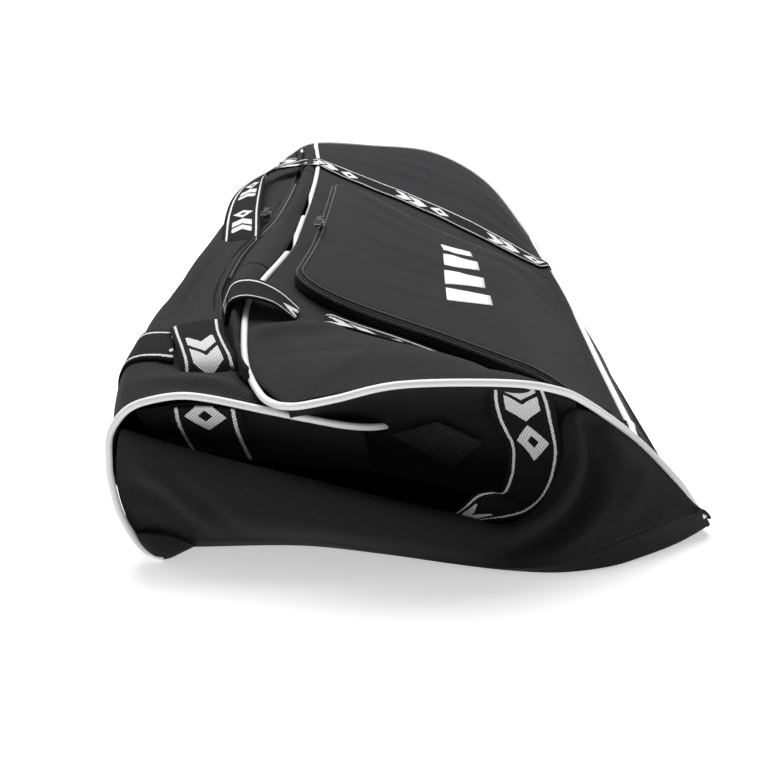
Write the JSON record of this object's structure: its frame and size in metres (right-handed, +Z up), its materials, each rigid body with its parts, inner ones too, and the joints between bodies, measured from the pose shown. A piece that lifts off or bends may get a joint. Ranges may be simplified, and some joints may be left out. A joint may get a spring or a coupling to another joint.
{
  "type": "skate bag",
  "caption": "Soft duffel bag for skates and ice sports kit, lying collapsed, with piped seams, webbing straps and handle loops, a zipped side pocket, a zipped top and vented ends.",
  "frame": {"origin": "middle of the footprint of the bag, on the floor", "axes": "+Z up, +Y along the length from the near end to the far end, +X towards the long side whose panel carries the pocket"},
  "size_m": [0.431, 0.8989, 0.1744],
  "materials": {
    "fabric_body": "black coated polyester plain weave, slight sheen",
    "board": "black coated polyester over a stiff base board",
    "piping": "white vinyl piping, soft gloss",
    "webbing": "black woven webbing with white edge lines and white woven motifs",
    "mesh": "black open knitted mesh",
    "zip_tape": "black zip tape with a nylon coil",
    "print": "white screen-printed ink",
    "slider_metal": "dark plated metal, worn at the edges",
    "puller_rubber": "black moulded puller"
  },
  "bodies": {
    "bag": {"bottom_panel": "board", "side_panel_left": "fabric_body", "side_panel_right": "fabric_body", "lower_wrap_right": "fabric_body", "top_strip_near": "fabric_body", "top_strip_far": "fabric_body", "end_panel_near_inner": "fabric_body", "end_panel_near_lower": "fabric_body", "end_panel_far": "fabric_body", "piping_near_left": "piping", "piping_near_right": "piping", "piping_far": "piping", "piping_ridge": "piping", "piping_lower_right": "piping", "strap_right_near": "webbing", "strap_right_far": "webbing", "strap_left_near": "webbing", "strap_left_far": "webbing", "end_strap_left": "webbing", "end_strap_right": "webbing", "mesh_vent": "mesh", "pocket_gusset": "fabric_body", "pocket_zip": "zip_tape", "main_zip": "zip_tape", "handle_left_far": "webbing"},
    "top_flap": {"top_flap": "fabric_body"},
    "pocket_front": {"pocket_face": "fabric_body", "pocket_print": "print"},
    "pocket_slider": {"pocket_slider": "slider_metal"},
    "pocket_puller": {"pocket_puller": "puller_rubber"},
    "main_slider": {"main_slider": "slider_metal"},
    "main_puller": {"main_puller": "puller_rubber"},
    "right_handle": {"handle_right": "webbing"},
    "left_handle": {"handle_left_near": "webbing"}
  },
  "joints": [
    {"name": "top_flap_hinge", "type": "hinge", "parent": "bag", "child": "top_flap", "pos_m": [-0.127, 0.004, 0.157], "axis": [0.0225, 0.9989, 0.0413], "range_deg": [0, 90]},
    {"name": "right_handle_hinge", "type": "hinge", "parent": "bag", "child": "right_handle", "pos_m": [-0.127, 0.004, 0.157], "axis": [0.0225, 0.9989, 0.0413], "range_deg": [0, 100]},
    {"name": "left_handle_hinge", "type": "hinge", "parent": "bag", "child": "left_handle", "pos_m": [-0.206, -0.345, 0.129], "axis": [0, -1, 0], "range_deg": [0, 25]},
    {"name": "pocket_hem_hinge", "type": "hinge", "parent": "bag", "child": "pocket_front", "pos_m": [0.1393, -0.125, 0.087], "axis": [0.0126, 0.9999, 0.0028], "range_deg": [0, 60]},
    {"name": "pocket_slider_run", "type": "slide", "parent": "bag", "child": "pocket_slider", "axis": [0.0179, 0.9989, 0.0433], "range_m": [-0.05, 0.19]},
    {"name": "pocket_puller_hinge", "type": "hinge", "parent": "pocket_slider", "child": "pocket_puller", "pos_m": [-0.09481, -0.07036, 0.17199], "axis": [-0.9998, 0.0179, 0], "range_deg": [0, 120]},
    {"name": "main_slider_run", "type": "slide", "parent": "bag", "child": "main_slider", "axis": [0, 0.9995, 0.0312], "range_m": [-0.01, 0.15]},
    {"name": "main_puller_hinge", "type": "hinge", "parent": "main_slider", "child": "main_puller", "pos_m": [-0.1565, 0.01974, 0.1622], "axis": [-1, 0, 0], "range_deg": [0, 120]}
  ]
}
